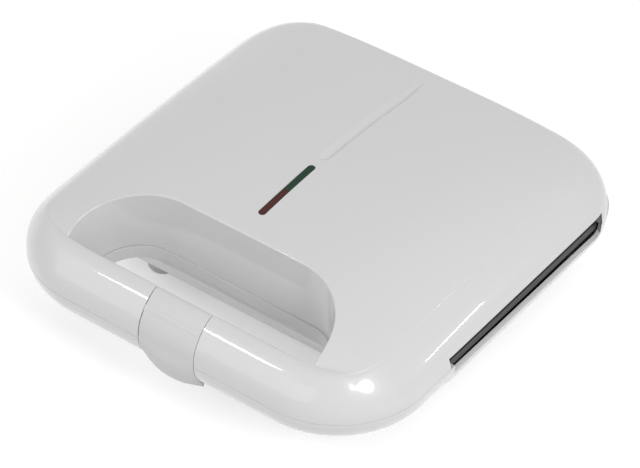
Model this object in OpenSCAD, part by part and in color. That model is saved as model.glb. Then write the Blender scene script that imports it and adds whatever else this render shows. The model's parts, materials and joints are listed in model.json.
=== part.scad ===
// Sandwich toaster: two plastic shells on a rear hinge, each with a cast plate,
// a heating element and a heat shield, held shut by a clip on the handle.
// +X right, +Y to the rear, +Z up; the origin is on the table under the middle of the part.

/* [Body] */
// Width of both shells at the parting line
body_w = 230; // [220:1:245]
// Depth from the front of the handle to the rear wall of the base
body_d = 232; // [226:1:245]
// Height of the parting line above the table
part_z = 40; // [39:0.5:46]
// Height of the lid's crown above the parting line
lid_h = 38; // [36:0.5:44]
// Depth of the base shell under the parting line
base_h = 31.5; // [30:0.5:34]
// Wall of both shells
wall = 2.4; // [1.8:0.1:2.8]
// Gap between the lid's rim and the base's rim
rim_gap = 0.4; // [0.3:0.1:0.8]
// How far the lid's rear edge stays in front of the base's
lid_rear_inset = 3; // [2.5:0.1:4]

/* [Shell shape] */
// Corner radius at the front of the parting line
front_r = 50; // [44:1:56]
// Corner radius at the rear of the parting line
rear_r = 32; // [28:1:38]
// Height of the crease between the lid's top and its shoulder
crease_z = 24.4; // [22:0.2:27]
// How far the crease lies inside the rim at the sides
crease_in = 16; // [13:0.5:18]
// Height where the crown rolls over at the rear
rear_roll_z = 28; // [26:0.5:30]
// How far that rear roll lies inside the rim
rear_roll_in = 10; // [8:0.5:13]
// How far the crown's highest line lies behind the middle of the body
crown_back = 5; // [-5:1:14]
// Fall of the crown from its highest line to the rear roll
crown_drop = 8.64; // [6:0.04:11]
// How flat the crown is across before it falls to the crease
crown_power = 4; // [3:0.25:5]
// Depth of the base's upright skirt
skirt_h = 12; // [10:0.5:14]
// How far the base's floor lies inside its rim
floor_in = 20; // [18:0.5:24]
// How far the tub's sides stand back from the front ring's
tub_in = 1; // [0.5:0.1:1.5]

/* [Handle] */
// Depth of the handle bar, front to back
bar_d = 16.5; // [15:0.5:19]
// Height of the bar's top above the parting line
bar_top = 22; // [20:0.5:23]
// How far the bar's upper front edge lies behind its front
bar_top_in = 13; // [11:0.5:14]
// Depth of the bar under the parting line
bar_low = 18; // [16:0.5:19]
// Depth of the finger recess at the lid's top, behind the bar
recess_d = 43; // [42:0.5:46]
// Half width of the finger recess at the lid's top
recess_hw = 78; // [74:1:80]
// Corner radius of the finger recess at the lid's top
recess_r = 39; // [34:1:41]
// Depth of the finger hole at the lid's rim
hole_d = 40.8; // [38:0.2:42]
// Half width of the finger hole at the lid's rim
hole_hw = 68; // [64:1:71]
// Corner radius of the finger hole at the lid's rim
hole_r = 24; // [20:1:28]
// How far the base's rim shows inside the lid's round the finger hole
hole_step = 0.8; // [0.4:0.1:1.2]
// Height of the base's wall behind the finger hole
hole_wall_h = 7; // [6:0.5:9]
// Width of the shallow part of the base beside the finger hole
shallow_w = 13; // [10:1:16]
// How far the tub's front stands behind the finger hole
tub_setback = 2; // [1:0.5:4]

/* [Latch] */
// Width of the clip
latch_w = 33.6; // [28:0.2:40]
// Side gap between the clip and its slot
latch_gap = 0.35; // [0.3:0.05:0.6]
// Thickness of the clip's skin
latch_t = 2.6; // [2:0.1:3]
// Diameter of the clip's pin
latch_pin_d = 3; // [2.5:0.1:3.4]
// Diameter of the clip's hub
latch_hub_d = 6.6; // [6:0.1:7]
// How far the clip's lip reaches below the parting line
latch_drop = 21.5; // [19:0.5:24]
// How far the clip stands proud of the handle's front
latch_proud = 1; // [0.6:0.1:2]
// How far the lip of the clip curves back from its middle to its ends
latch_round = 4.3; // [3:0.1:5]
// Lean of that curve from upright
latch_lean = 29; // [25:1:33]
// Gap between the clip's hook and the keeper in the base
hook_gap = 0.4; // [0.3:0.05:0.6]
// Distance of the keeper behind the front face
keeper_d = 8.2; // [7.6:0.1:8.6]
// Height of the keeper under the parting line
keeper_h = 14.2; // [13:0.1:15]

/* [Hinge] */
// Diameter of the hinge pins
hinge_pin_d = 4; // [3:0.1:5]
// Outside diameter of the hinge knuckles
knuckle_d = 10; // [9:0.5:11]
// Distance of the knuckles' inner end from the middle
knuckle_x = 40; // [36:1:46]
// Length of each base knuckle
ear_l = 7; // [5:0.5:9]
// Length of the lid's knuckle between two base knuckles
lug_l = 16; // [12:0.5:20]
// Side gap between knuckles
knuckle_gap = 0.4; // [0.3:0.05:0.6]
// Distance of the hinge axis in front of the base's rear wall face
hinge_in = 1.5; // [1:0.1:1.8]
// Running clearance on radius of every pin in its moving bore
pin_clear = 0.05; // [0.02:0.01:0.09]

/* [Plates] */
// How far the plates' side edges stand back from the shells' rim
plate_in = 4.1; // [3:0.1:6]
// Distance of the plates' front edge behind the shells' front edge
plate_y = 76.5; // [75:0.5:79]
// Room for the wiring between the plates and the rear wall
wiring_room = 27.5; // [26:0.5:31]
// Thickness of the plates' rim
rim_t = 4.6; // [4:0.1:5]
// Gap between the two plates when shut
plate_gap = 0.8; // [0.6:0.1:1.2]
// Depth of the plates' pans from the parting line
pan_h = 16; // [14:0.5:17]
// Depth of the sandwich pockets
pocket_h = 12.5; // [10:0.5:13]
// Distance of the pockets from the plates' side edges
pocket_side = 3.4; // [3:0.1:8]
// Distance of the pockets from the plates' front and rear edges
pocket_end = 12; // [11:0.5:15]
// Width of the ridges between pockets
ridge_w = 7; // [5:0.5:9]
// Slope of the pocket walls, as inset at the pocket's floor
pocket_in = 7; // [5:0.5:9]
// Space between the plates' edge and the windows' ends
window_gap = 0.6; // [0.4:0.1:1]
// Height of each side window above and below the parting line
window_h = 6; // [5.4:0.1:6.6]

/* [Heating] */
// Diameter of the tubular elements
element_d = 6.5; // [6:0.1:7]
// Distance of the element's loop inside the plates' side edges
element_side = 32.9; // [32:0.1:40]
// Distance of the element's loop inside the plates' front and rear edges
element_front = 22; // [18:1:26]
// Distance of the outer clamps inside the loop's sides
clamp_in = 33; // [30:1:36]
// Bend radius of the elements
element_r = 16; // [13:1:20]
// Half distance between the element's two ends
element_end = 13; // [11:0.5:16]
// Thickness of the heat shields
shield_t = 0.7; // [0.5:0.1:1]
// Space between the elements' clamps and the heat shields' turned edge
shield_space = 0.8; // [0.5:0.1:1.2]
// Height of the heat shields' turned edge
shield_edge = 5; // [3:0.5:6]

/* [Lamps] */
// Length of the lens slot
slot_l = 43; // [38:0.5:46]
// Width of the lens slot
slot_w = 4.2; // [3.8:0.2:5.4]
// Distance of the slot's front end behind the shells' front edge
slot_y = 73.5; // [70:0.5:78]
// Width of the dark frame round the lenses
frame_w = 0.5; // [0.4:0.1:0.8]
// Length of the shallow groove behind the slot
groove_l = 86; // [76:1:90]
// Width of the groove
groove_w = 7; // [5:0.5:8]
// Depth of the groove
groove_h = 0.7; // [0.4:0.1:1.2]

/* [Feet and inlet] */
// Diameter of the feet
foot_d = 16; // [14:0.5:18]
// Distance of the feet from the middle, left and right
foot_x = 69; // [60:1:70]
// Distance of the front feet behind the shells' front edge
foot_front = 81; // [80:0.5:86]
// Distance of the rear feet in front of the rear wall
foot_rear = 32; // [28:1:40]
// Diameter of the bore for the mains cord
cord_bore_d = 7.2; // [6.6:0.1:8]
// Outside diameter of the gland's flange
gland_flange_d = 15; // [13:0.5:17]
// Length of the gland
gland_l = 12; // [10:0.5:16]
// Height of the cord inlet above the table
inlet_z = 27; // [25:0.5:29]
// Distance of the inlet from the middle, to the left
inlet_x = 0; // [0:1:20]

/* [Screws] */
// Diameter of the plate and base screws
screw_d = 4; // [3.5:0.1:4.5]
// Diameter of the screw heads
head_d = 7; // [6:0.2:7.6]
// Thickness of the screw heads
head_h = 1.7; // [1.4:0.1:2]
// Outside diameter of the screw bosses
boss_d = 9; // [8.4:0.2:10]
// Distance of the base's screws inside the plates' side edges
base_screw_side = 24.9; // [24:0.1:28]
// Distance of the base's screws inside the plates' front and rear edges
base_screw_end = 6; // [5:0.5:7]
// Distance of the lid's screws from the middle
lid_screw_x = 52; // [46:1:56]
// Distance of the lid's screws inside the plates' front and rear edges
lid_screw_end = 5; // [4:0.5:6]
// How deep the base screws bite into the lower plate's rim
screw_bite = 3.4; // [2.5:0.1:3.6]
// Clearance where an inner piece seats on another
seat_gap = 0.05; // [0.02:0.01:0.2]

/* [Hidden] */
$fn = 48;
eps = 0.01;
hinge_proud = knuckle_d / 2 - hinge_in;
depth_all = latch_proud + body_d + hinge_proud;
front_y = -depth_all / 2 + latch_proud;      // front face of the shells
rear_y = front_y + body_d;                   // rear face of the base
hw = body_w / 2;
hinge_y = rear_y - hinge_in;
hinge_z = part_z;
bar_y = front_y + bar_d;                     // rear face of the handle bar
lid_rear_y = rear_y - lid_rear_inset;
plate_w = body_w - 2 * plate_in;
plate_d = body_d - plate_y - wiring_room;
plate_y0 = front_y + plate_y;
plate_y1 = plate_y0 + plate_d;
plate_yc = plate_y0 + plate_d / 2;
crease_x = hw - crease_in;

// ---- outlines and shells ----

// points of a round corner, n steps from angle a0 over a quarter turn
function corner(cx, cy, r, a0, n) =
    [for (i = [0:n]) [cx + r * cos(a0 + 90 * i / n), cy + r * sin(a0 + 90 * i / n)]];

// rounded outline: half width w, front and rear edge, front and rear corner radius
function outline(w, y0, y1, rf, rr, n = 8) = concat(
    corner(w - rf, y0 + rf, rf, -90, n), corner(w - rr, y1 - rr, rr, 0, n),
    corner(rr - w, y1 - rr, rr, 90, n), corner(rf - w, y0 + rf, rf, 180, n));

function at_z(points, z) = [for (p = points) [p[0], p[1], z]];

// convex skin round a cloud of points
module skin(points) {
    spare = [for (i = [0:1:2 - (len(points) + 2) % 3]) points[0]];
    cloud = concat(points, spare);
    hull() polyhedron(cloud, [for (i = [0:3:len(cloud) - 3]) [i, i + 1, i + 2]]);
}

crown_y = body_d / 2 + crown_back;           // highest line of the crown, from the front
crown_rear_y = lid_rear_y - rear_roll_in;
crown_fall = crown_drop / pow(crown_rear_y - front_y - crown_y, 2);

// height of the lid's crown above the parting line
function crown_at(x, y) = crease_z
    + (lid_h - crease_z - crown_fall * pow(y - front_y - crown_y, 2))
    * (1 - pow(min(1, abs(x) / crease_x), crown_power));

// one level of the lid's side, t from 0 at the rim to 1 at the crease
deck_setback = 24;
function front_in(z) = bar_top_in * pow(z / bar_top, 2.5);
function lid_front_in(z, t) = t == 1 ? deck_setback : front_in(z);
function lid_level(t, w) = let (z = crease_z * t)
    at_z(outline(hw - crease_in * pow(t, 1.8) - w, front_y + lid_front_in(z, t) + w,
        lid_rear_y - rear_roll_in * pow(z / rear_roll_z, 3) - w,
        front_r - 8 * t - w, rear_r + 4 * t - w), part_z + z);

// half width of the crown that stays inside the rear corners
crown_r = rear_r + 4;
function crown_hw(y) = crease_x - crown_r
    + sqrt(max(0, pow(crown_r, 2) - pow(max(0, y - crown_rear_y + crown_r), 2)));

lid_levels = 7;
crown_rows = 8;
crown_steps = 12;
recess_y = bar_y + recess_d;                 // rear rim of the finger recess
function crown_points(w) = [for (j = [0:crown_rows], i = [-crown_steps / 2:crown_steps / 2])
    let (y = recess_y + (crown_rear_y - recess_y) * j / crown_rows,
         x = (crown_hw(y) - w) * sin(90 * i / (crown_steps / 2)))
    [x, min(y, crown_rear_y - w), part_z + crown_at(x, y) - w]];
bar_hw = recess_hw - 2;
function bar_points(w) = [for (s = [-1, 1]) [s * bar_hw, front_y + bar_top_in + w, part_z + bar_top - w]];

// the lid's convex form, w is how far it lies inside the outer face
module lid_form(w) skin(concat(
    [for (k = [0:lid_levels]) each lid_level(k / lid_levels * (1 - w / crease_z), w)],
    w > 0 ? at_z([for (p = lid_level(0, w)) [p[0], p[1]]], part_z - 1) : [],
    w > 0 ? lid_level(1 - w / crease_z, w) : lid_level(1, 0),
    bar_points(w), crown_points(w)));

// plan of the finger hole, with its front edge on the rear face of the bar
function hole_plan(w, d, r, grow) = outline(w + grow, bar_y - grow, bar_y + d + grow, 0.8, r + grow);

// finger recess of the lid, grown by a wall's thickness; run carries its slope past the lid's top
module lid_recess(grow) {
    run = (lid_h + 6) / (lid_h - 6);
    skin(concat(
        at_z(hole_plan(hole_hw, hole_d, hole_r, grow), part_z - 1),
        at_z(hole_plan(hole_hw + (recess_hw - hole_hw) * run, hole_d + (recess_d - hole_d) * run,
            recess_r, grow), part_z + lid_h + 6)));
}

// hole of the base, with its front edge on the rear face of the bar too
module base_hole(grow, z0, z1) translate([0, 0, z0]) linear_extrude(z1 - z0)
    polygon(hole_plan(hole_hw - hole_step, hole_d - hole_step, hole_r, grow));

// base: a shallow front ring with the handle, and the tub behind it
ring_steps = 6;
function ring_level(a, w) = let (inset = bar_d * (1 - cos(a)), z = bar_low * sin(a))
    at_z(outline(hw - inset - w, front_y + inset + w, rear_y - inset - w,
        front_r - w - inset / 3, rear_r - w), part_z - z + w * sin(a));
module ring_form(w) intersection() {
    skin(concat(at_z([for (p = ring_level(0, w)) [p[0], p[1]]], part_z + (w > 0 ? 1 : -rim_gap)),
        [for (k = [0:ring_steps]) each ring_level(k / ring_steps * 80, w)]));
    difference() {
        translate([-hw, front_y - 1, 0])
            cube([body_w, plate_y - window_gap + 1, part_z + 2]);
        // shallow beside and behind the finger hole
        translate([-hole_hw - shallow_w - w, bar_y - w, 0])
            cube([2 * (hole_hw + shallow_w + w), body_d, part_z - hole_wall_h + w]);
    }
}

tub_y0 = bar_y + hole_d - hole_step + tub_setback;
tub_steep = 0.6;                             // the tub's ends are steeper than its sides
tub_r = 18;
function tub_level(z, inset, w) = at_z(outline(hw - tub_in - inset - w, tub_y0 + inset * tub_steep + w,
    rear_y - inset * tub_steep - w, tub_r - w, rear_r - w - inset / 4), part_z - z);
module tub_form(w) skin(concat(
    tub_level(w > 0 ? -1 : rim_gap, 0, w), tub_level(4, 0.3, w), tub_level(skirt_h, 2, w),
    tub_level(skirt_h + 4, 5, w), tub_level(skirt_h + 10, floor_in * 0.55, w),
    tub_level(base_h - w, floor_in, w)));

// ---- hinge ----

module along_x(x, d, l) translate([x, hinge_y, hinge_z]) rotate([0, 90, 0]) cylinder(d = d, h = l);
ear_in_x = knuckle_x;
lug_x = ear_in_x + ear_l + knuckle_gap;
ear_out_x = lug_x + lug_l + knuckle_gap;
pin_l = ear_out_x + ear_l - ear_in_x;
module both_sides() {
    children();
    mirror([1, 0, 0]) children();
}
clear_d = knuckle_d + 2 * knuckle_gap;
module ear_zones(d, gap) both_sides() {
    along_x(ear_in_x - gap, d, ear_l + 2 * gap);
    along_x(ear_out_x - gap, d, ear_l + 2 * gap);
}
module lug_zones(d, gap) both_sides() along_x(lug_x - gap, d, lug_l + 2 * gap);
module hinge_bores(d) both_sides() along_x(ear_in_x, d, pin_l);

// ---- bosses and screws ----

// four places at x to the left and right, inset from the plates' front and rear edges
function plate_corners(x, inset) = [for (s = [-1, 1], y = [plate_y0 + inset, plate_y1 - inset]) [s * x, y]];
base_screw_at = plate_corners(plate_w / 2 - base_screw_side, base_screw_end);
lid_screw_at = plate_corners(lid_screw_x, lid_screw_end);
module at(places, z) for (p = places) translate([p[0], p[1], z]) children();

floor_z = part_z - base_h;                   // underside of the base
rim_low = part_z - plate_gap / 2 - rim_t;    // underside of the lower plate's rim
rim_high = part_z + plate_gap / 2 + rim_t;   // top of the upper plate's rim

// ---- base ----

gland_seat = 9;
hook_y = front_y + keeper_d;                 // front face of the keeper under the clip
slot_hw = latch_w / 2 + latch_gap;
well_d = head_d + 0.6;
well_h = 4;                                  // depth of the wells from the base's underside

// cross ribs in the hollow handle, cut to its inner form by the cavity they stand in
rib_t = 2;
rib_short = 5;                               // how far the ribs stay short of the parting line
module handle_ribs(z, h) for (x = [-58, -38, 38, 58])
    translate([x - rib_t / 2, front_y, z]) cube([rib_t, bar_d, h]);

// flat face of a shell at the parting line, open where the plate sits; z is its underside
module deck(z) difference() {
    translate([-hw, front_y, z]) cube([body_w, body_d, wall]);
    translate([-plate_w / 2 - window_gap, plate_y0 - window_gap, z - 1])
        cube([plate_w + 2 * window_gap, plate_d + 2 * window_gap, wall + 2]);
}

module base_housing() color("gainsboro") difference() {
    union() {
        difference() {
            union() {
                ring_form(0);
                tub_form(0);
            }
            difference() {
                union() {
                    ring_form(wall);
                    tub_form(wall);
                }
                base_hole(wall, floor_z, part_z);
                handle_ribs(part_z - bar_low, bar_low - rib_short);
                deck(part_z - rim_gap - wall);
                // wall of the keeper behind the clip
                translate([-slot_hw - wall, front_y - 1, 0])
                    cube([2 * (slot_hw + wall), hook_y - front_y + wall + 1, part_z - rim_gap]);
            }
            base_hole(0, floor_z - 1, part_z + 1);
        }
        ear_zones(knuckle_d, 0);
        // bosses under the lower plate
        at(base_screw_at, floor_z + 1) cylinder(d = boss_d, h = rim_low - floor_z - 1);
        // foot posts
        at(foot_at, floor_z) cylinder(d = foot_d, h = wall + foot_post);
        // seat of the gland
        translate([-inlet_x, rear_y - gland_seat, inlet_z]) rotate([-90, 0, 0])
            cylinder(d = gland_flange_d + 2, h = gland_seat);
    }
    // clip's pocket in the handle
    translate([-slot_hw, front_y - 2, 0])
        cube([2 * slot_hw, hook_y - front_y + 2, part_z + 1]);
    // undercut below the keeper
    translate([-slot_hw, hook_y - 1, 0]) cube([2 * slot_hw, undercut + 1, part_z - keeper_h]);
    lug_zones(clear_d, knuckle_gap);
    hinge_bores(hinge_pin_d + 0.04);
    side_windows(-1);
    at(base_screw_at, floor_z - 1) cylinder(d = screw_d + 0.2, h = base_h + 2);
    at(base_screw_at, floor_z - 1) cylinder(d = well_d, h = well_h + 1);
    translate([-inlet_x, rear_y + 10, inlet_z]) rotate([90, 0, 0])
        cylinder(d = gland_neck_d + 0.1, h = 30);
    // vents in the floor
    for (i = [-3:3], s = [-1, 1])
        translate([i * vent_pitch - vent_w / 2, plate_yc + s * vent_y - vent_l / 2, floor_z - 1])
            cube([vent_w, vent_l, wall + 2]);
}
undercut = 1.6;                              // depth of the undercut behind the keeper's face
vent_w = 4;
vent_l = 24;
vent_pitch = 12;
vent_y = 22;

// window for the plates' edges, s is -1 below the parting line and 1 above
module side_windows(s) both_sides()
    translate([crease_x + 6, plate_y0 - window_gap, s < 0 ? part_z - window_h : part_z - 1])
        cube([20, plate_d + 2 * window_gap, window_h + 1]);

foot_h = floor_z;
foot_post = 3;
foot_front_y = front_y + foot_front;
foot_rear_y = rear_y - foot_rear;
foot_at = [for (x = [-foot_x, foot_x], y = [foot_front_y, foot_rear_y]) [x, y]];
module foot(p) color("whitesmoke") translate([p[0], p[1], 0]) rotate_extrude() polygon([
    [0, 0], [foot_d / 2 - 2.5, 0], [foot_d / 2 - 1, 0.6], [foot_d / 2, 2.2],
    [foot_d / 2, foot_h], [0, foot_h]]);
module front_left_foot() foot([-foot_x, foot_front_y]);
module front_right_foot() foot([foot_x, foot_front_y]);
module rear_left_foot() foot([-foot_x, foot_rear_y]);
module rear_right_foot() foot([foot_x, foot_rear_y]);

tip_gap = 0.4;                               // space past the tip of a screw
base_head_z = floor_z + well_h - head_h;
module base_screws() color("silver") at(base_screw_at, base_head_z) {
    cylinder(d = head_d, h = head_h);
    cylinder(d = screw_d, h = rim_low + screw_bite - tip_gap - base_head_z);
}

gland_neck_d = cord_bore_d + 3.6;
module cord_gland() color("dimgray") translate([-inlet_x, rear_y, inlet_z]) rotate([90, 0, 0])
    difference() {
        union() {
            translate([0, 0, -1.5]) cylinder(d = gland_flange_d, h = 1.5);
            translate([0, 0, -1.5]) cylinder(d = gland_neck_d, h = gland_l);
        }
        translate([0, 0, -2]) cylinder(d = cord_bore_d, h = gland_l + 2);
    }

// ---- plates, shared by base and lid: built face down, flipped for the lid ----

pocket_w = (plate_w - ridge_w) / 2 - pocket_side;
pocket_l = plate_d - 2 * pocket_end;
pocket_x = (pocket_w + ridge_w) / 2;         // middle of each pair of pockets

// one pocket's triangle, shrunk by an inset, with its right angle at a corner of the pair
function pocket(inset) = let (less = ridge_w * 0.7 + inset * 2.4)
    [[inset, inset], [inset + pocket_w - less, inset], [inset, inset + pocket_l - less]];

module frustum(low, high, z0, z1) {
    n = len(low);
    polyhedron(concat(at_z(low, z0), at_z(high, z1)), concat(
        [[for (i = [0:n - 1]) i]], [[for (i = [0:n - 1]) 2 * n - 1 - i]],
        [for (i = [0:n - 1]) [i, n + i, n + (i + 1) % n, (i + 1) % n]]));
}

// the four pockets, cut past the plate's face
module pockets() for (s = [-1, 1], turn = [0, 180])
    translate([s * pocket_x, plate_yc, 0])
        rotate([0, 0, turn]) mirror([s > 0 ? 0 : 1, 0, 0])
            translate([-pocket_w / 2, -pocket_l / 2, 0])
                frustum(pocket(pocket_in), pocket(-pocket_in / pocket_h), -pocket_h, 1);

module plate_body() difference() {
    union() {
        translate([-plate_w / 2, plate_y0, -rim_t]) cube([plate_w, plate_d, rim_t]);
        for (s = [-1, 1]) translate([s * pocket_x, plate_yc, 0])
            frustum(pan_at(-3), pan_at(1), -pan_h, -rim_t + eps);
    }
    pockets();
}
// outline of a pan round a pair of pockets, grown on every side
function pan_at(grow) = let (x = pocket_w / 2 + grow, y = pocket_l / 2 + grow)
    [[-x, -y], [x, -y], [x, y], [-x, y]];

module lower_plate() color("dimgray") difference() {
    translate([0, 0, part_z - plate_gap / 2]) plate_body();
    at(base_screw_at, rim_low - 1) cylinder(d = screw_d, h = 1 + screw_bite);
}

module upper_plate() color("dimgray") difference() {
    translate([0, 0, part_z + plate_gap / 2]) mirror([0, 0, 1]) plate_body();
    at(thermostat_screw_at, plate_back - cap_screw_bite) cylinder(d = cap_screw_d, h = cap_screw_bite + 1);
    at(lid_screw_at, part_z) cylinder(d = screw_d, h = rim_t + 2);
    at(lid_screw_at, part_z) cylinder(d = head_d + 0.4, h = plate_gap / 2 + head_h + 0.2);
}

// ---- elements, clamps and shields: z is the height of the tube's centre, s is -1 or 1 ----

element_hw = plate_w / 2 - element_side;
element_y0 = plate_y0 + element_front;
element_y1 = plate_y1 - element_front;
plate_back = part_z + plate_gap / 2 + pan_h;
element_low = 2 * part_z - plate_back - element_d / 2 - seat_gap;
element_high = plate_back + element_d / 2 + seat_gap;
element_tail = plate_y1 - 4;
bead_l = 3;
blade_l = 6;
blade_w = 4.8;
blade_t = 0.8;
blade_y = element_tail + bead_l + blade_l;   // rear end of the blades

module tube_bend(x, y, a) translate([x, y, 0]) rotate([0, 0, a])
    rotate_extrude(angle = 90) translate([element_r, 0]) circle(d = element_d);
module tube_x(x0, x1, y) translate([x0, y, 0]) rotate([0, 90, 0]) cylinder(d = element_d, h = x1 - x0);
module tube_y(x, y0, y1) translate([x, y0, 0]) rotate([-90, 0, 0]) cylinder(d = element_d, h = y1 - y0);

module element(z) color("darkgray") translate([0, 0, z]) {
    tube_x(-element_hw + element_r, element_hw - element_r, element_y0);
    both_sides() {
        tube_bend(element_hw - element_r, element_y0 + element_r, -90);
        tube_y(element_hw, element_y0 + element_r, element_y1 - element_r);
        tube_bend(element_hw - element_r, element_y1 - element_r, 0);
        tube_x(element_end + element_r, element_hw - element_r, element_y1);
        tube_bend(element_end + element_r, element_y1 + element_r, 180);
        tube_y(element_end, element_y1 + element_r, element_tail);
        // ceramic bead and blade at the end of the tube
        translate([element_end, element_tail, 0]) rotate([-90, 0, 0]) cylinder(d = 4, h = bead_l);
        translate([element_end - blade_w / 2, element_tail + bead_l, -blade_t / 2])
            cube([blade_w, blade_l, blade_t]);
    }
}
module lower_element() element(element_low);
module upper_element() element(element_high);

clamp_t = 1.2;
clamp_w = 8;
clamp_l = element_d + 14;
clamp_x = element_hw - clamp_in;
// place and turn of each clamp
clamp_at = concat([for (x = [-clamp_x, clamp_x], y = [element_y0, element_y1]) [x, y, 90]],
    [for (x = [-element_hw, element_hw]) [x, plate_yc, 0]]);
module clamps(back, s) color("silver") for (p = clamp_at)
    translate([p[0], p[1], back]) rotate([0, 0, p[2]]) mirror([0, 0, s > 0 ? 0 : 1]) difference() {
        union() {
            translate([-element_d / 2 - clamp_t - 0.1, -clamp_w / 2, 0])
                cube([element_d + 2 * clamp_t + 0.2, clamp_w, element_d + seat_gap + clamp_t + 0.1]);
            translate([-clamp_l / 2, -clamp_w / 2, 0]) cube([clamp_l, clamp_w, clamp_t]);
            for (x = [-1, 1]) translate([x * (clamp_l / 2 - 3.2), 0, 0]) cylinder(d = 4.4, h = clamp_t + 1);
        }
        translate([-element_d / 2 - 0.1, -clamp_w, -1])
            cube([element_d + 0.2, 2 * clamp_w, element_d + seat_gap + 1.1]);
    }
module lower_element_clamps() clamps(2 * part_z - plate_back, -1);
module upper_element_clamps() clamps(plate_back, 1);

shield_off = pan_h + plate_gap / 2 + element_d + seat_gap + clamp_t + 0.2;
shield_round = element_d / 2 + clamp_t + shield_space + shield_t;
shield_w = 2 * (element_hw + shield_round);
shield_d = element_y1 - element_y0 + 2 * shield_round;
notch_hw = element_end + element_r + 1;
notch_d = 8;
module shield() color("lightgray") translate([-shield_w / 2, plate_yc - shield_d / 2, 0]) difference() {
    cube([shield_w, shield_d, shield_edge]);
    translate([shield_t, shield_t, -1])
        cube([shield_w - 2 * shield_t, shield_d - 2 * shield_t, shield_edge + 1 - shield_t]);
    // notch for the element's ends and hole for the leads
    translate([shield_w / 2 - notch_hw, shield_d - notch_d, -1])
        cube([2 * notch_hw, notch_d + 1, shield_edge + 2]);
    translate([shield_w / 2 + thermostat_x, shield_d / 2, 0]) cylinder(d = 20, h = shield_edge + 2);
}
module lower_heat_shield() translate([0, 0, part_z - shield_off]) mirror([0, 0, 1])
    translate([0, 0, shield_t - shield_edge]) shield();
module upper_heat_shield() color("lightgray") difference() {
    translate([0, 0, part_z + shield_off + shield_t - shield_edge]) shield();
    // cut out round the lamp holder
    translate([-holder_w / 2 - 1, element_y0 - shield_round - 1, part_z])
        cube([holder_w + 2, slot_yc + holder_l / 2 + 2 - (element_y0 - shield_round), lid_h]);
}

// ---- electrical pieces ----

tub_floor = floor_z + wall;
block_x = 20;
block_d = 15;
block_h = 12;
block_y = rear_y - 33;
pole_pitch = 12;
block_l = 3 * pole_pitch - 2;
module terminal_block() color("white") translate([block_x, block_y, tub_floor]) difference() {
    union() {
        cube([block_l, block_d, 3]);
        for (i = [0:2]) translate([i * pole_pitch, 1, 2]) cube([10, block_d - 2, block_h - 2]);
    }
    for (i = [0:2]) translate([5 + i * pole_pitch, 0, 7]) {
        translate([0, -1, 0]) rotate([-90, 0, 0]) cylinder(d = 4, h = block_d + 2);
        for (y = [4, block_d - 4]) translate([0, y, 0]) cylinder(d = 3.2, h = block_h);
    }
}

fuse_d = 5;
fuse_l = 40;
fuse_y = rear_y - 20;
fuse_x = -60;
fuse_z = tub_floor + fuse_d / 2 + seat_gap;
module thermal_fuse() color("ivory") translate([fuse_x, fuse_y, fuse_z]) rotate([0, 90, 0]) {
    translate([0, 0, 4]) cylinder(d = fuse_d, h = fuse_l - 8);
    cylinder(d = 2, h = fuse_l);
}

tag_x = 40;
tag_y = plate_y1 - 6;
tag_l = 12;
module earth_tag() color("gold") translate([tag_x, tag_y, rim_low]) mirror([0, 0, 1]) {
    difference() {
        translate([-4, -4, 0]) cube([8, 4 + tag_l, 0.8]);
        translate([0, 0, -1]) cylinder(d = 4, h = 3);
    }
    cylinder(d = 4, h = 1);
    translate([0, 0, 0.8]) cylinder(d = 7, h = 2);
}

// lead of round section along a route of points; up is any direction that the route never takes
module lead(route, up = [0, 0, 1]) {
    n = 8;
    k = len(route);
    tangents = [for (i = [0:k - 1]) let (v = route[min(i + 1, k - 1)] - route[max(i - 1, 0)]) v / norm(v)];
    points = [for (i = [0:k - 1])
        let (t = tangents[i], s = cross(t, up), a = s / norm(s), b = cross(t, a))
        each [for (j = [0:n - 1]) route[i] + lead_d / 2 * (a * cos(360 * j / n) + b * sin(360 * j / n))]];
    polyhedron(points, concat([[for (j = [0:n - 1]) j]], [[for (j = [0:n - 1]) k * n - 1 - j]],
        [for (i = [0:k - 2], j = [0:n - 1])
            [i * n + j, (i + 1) * n + j, (i + 1) * n + (j + 1) % n, i * n + (j + 1) % n]]));
}
lead_d = 2.4;
pole_z = tub_floor + 7;
module base_wiring() {
    color("brown") {
        lead([[block_x + 5, block_y - 0.3, pole_z], [block_x + 5, block_y - 3, pole_z - 1],
            [block_x - 6, block_y - 4, fuse_z], [-4, block_y - 3, fuse_z],
            [-12, fuse_y - 5, fuse_z], [fuse_x + fuse_l + 4, fuse_y, fuse_z],
            [fuse_x + fuse_l + 0.3, fuse_y, fuse_z]]);
        lead([[fuse_x - 0.3, fuse_y, fuse_z], [fuse_x - 5, fuse_y + 0.5, fuse_z + 0.5],
            [fuse_x - 9, fuse_y + 3, fuse_z + 3], [fuse_x - 7, fuse_y + 7, fuse_z + 5.5],
            [fuse_x, fuse_y + 8, fuse_z + 7], [-40, fuse_y + 7, element_low],
            [-20, blade_y + 7, element_low], [-element_end, blade_y + 4, element_low],
            [-element_end, blade_y + 0.3, element_low]]);
    }
    color("royalblue")
        lead([[block_x + 5 + pole_pitch, block_y + block_d + 0.3, pole_z],
            [block_x + 4.5 + pole_pitch, block_y + block_d + 3.5, pole_z + 0.5],
            [block_x + pole_pitch, block_y + block_d + 6.3, pole_z + 1.5],
            [block_x + 4, block_y + block_d + 6, element_low],
            [element_end, blade_y + 4.5, element_low],
            [element_end, blade_y + 0.3, element_low]]);
    color("gold")
        lead([[block_x + 5 + 2 * pole_pitch, block_y + block_d + 0.3, pole_z],
            [block_x + 6 + 2 * pole_pitch, block_y + block_d + 3, pole_z + 2],
            [tag_x + 8, block_y + block_d + 4, rim_low - 8],
            [tag_x, tag_y + tag_l + 4, rim_low - 1.4],
            [tag_x, tag_y + tag_l + 0.3, rim_low - 1.4]], [1, 0, 0]);
}

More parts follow.
